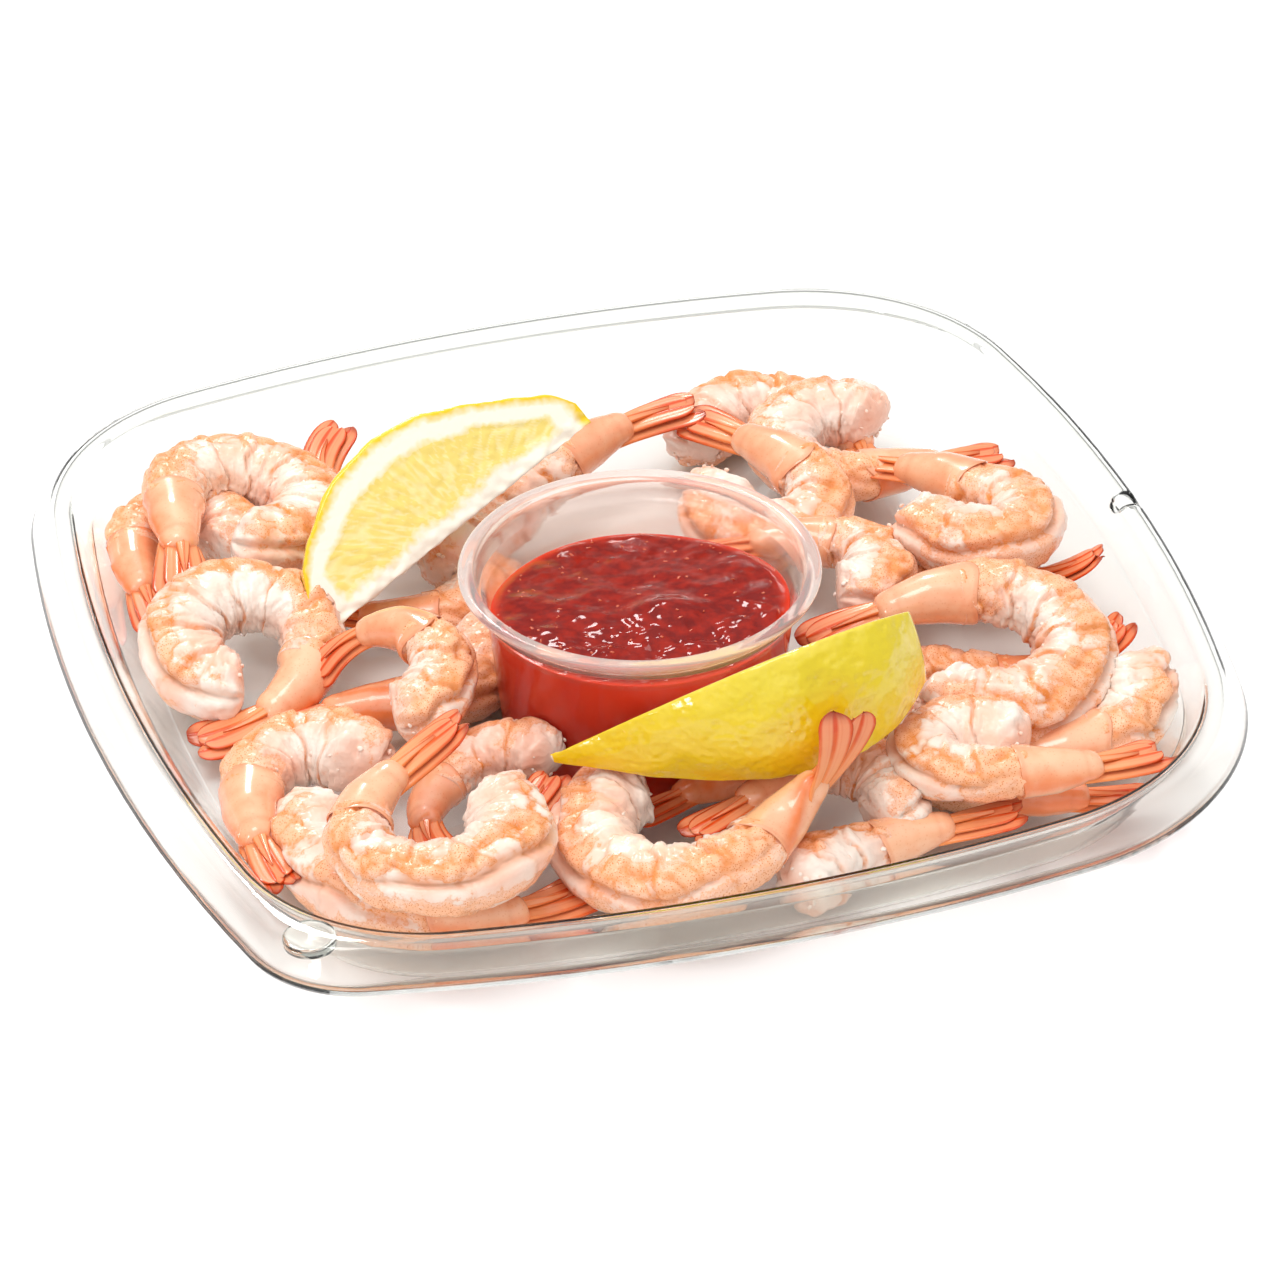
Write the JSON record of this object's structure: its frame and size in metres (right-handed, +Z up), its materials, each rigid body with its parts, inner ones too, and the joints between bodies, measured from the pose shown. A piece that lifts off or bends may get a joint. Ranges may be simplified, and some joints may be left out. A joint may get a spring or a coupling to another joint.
{
  "type": "shrimp cocktail",
  "caption": "Cooked peeled tail-on shrimps and lemon wedges round a cup of red cocktail sauce, in a clear square round-cornered plastic tray.",
  "frame": {"origin": "middle of the underside of the tray, on the surface that it stands on", "axes": "+Z up; +X to the right and +Y to the back when the thumb disc of the rim is at the front left"},
  "size_m": [0.2328, 0.2326, 0.0505],
  "materials": {
    "clear_plastic": "clear gloss plastic sheet",
    "milky_plastic": "translucent satin polypropylene",
    "shrimp": "moist cooked shrimp flesh, white to orange",
    "lemon": "moist lemon rind and flesh",
    "sauce": "glossy thick red sauce"
  },
  "bodies": {
    "root": {"tray": "clear_plastic", "sauce_cup": "milky_plastic", "cocktail_sauce": "sauce", "lemon_wedge_left": "lemon", "lemon_wedge_right": "lemon", "shrimp_01": "shrimp", "shrimp_02": "shrimp", "shrimp_03": "shrimp", "shrimp_04": "shrimp", "shrimp_05": "shrimp", "shrimp_06": "shrimp", "shrimp_07": "shrimp", "shrimp_08": "shrimp", "shrimp_09": "shrimp", "shrimp_10": "shrimp", "shrimp_11": "shrimp", "shrimp_12": "shrimp", "shrimp_13": "shrimp", "shrimp_14": "shrimp", "shrimp_15": "shrimp", "shrimp_16": "shrimp", "shrimp_17": "shrimp", "shrimp_18": "shrimp", "shrimp_19": "shrimp", "shrimp_20": "shrimp", "shrimp_21": "shrimp", "shrimp_22": "shrimp", "shrimp_23": "shrimp", "shrimp_24": "shrimp", "shrimp_25": "shrimp", "shrimp_26": "shrimp", "shrimp_27": "shrimp", "shrimp_28": "shrimp"}
  },
  "joints": []
}
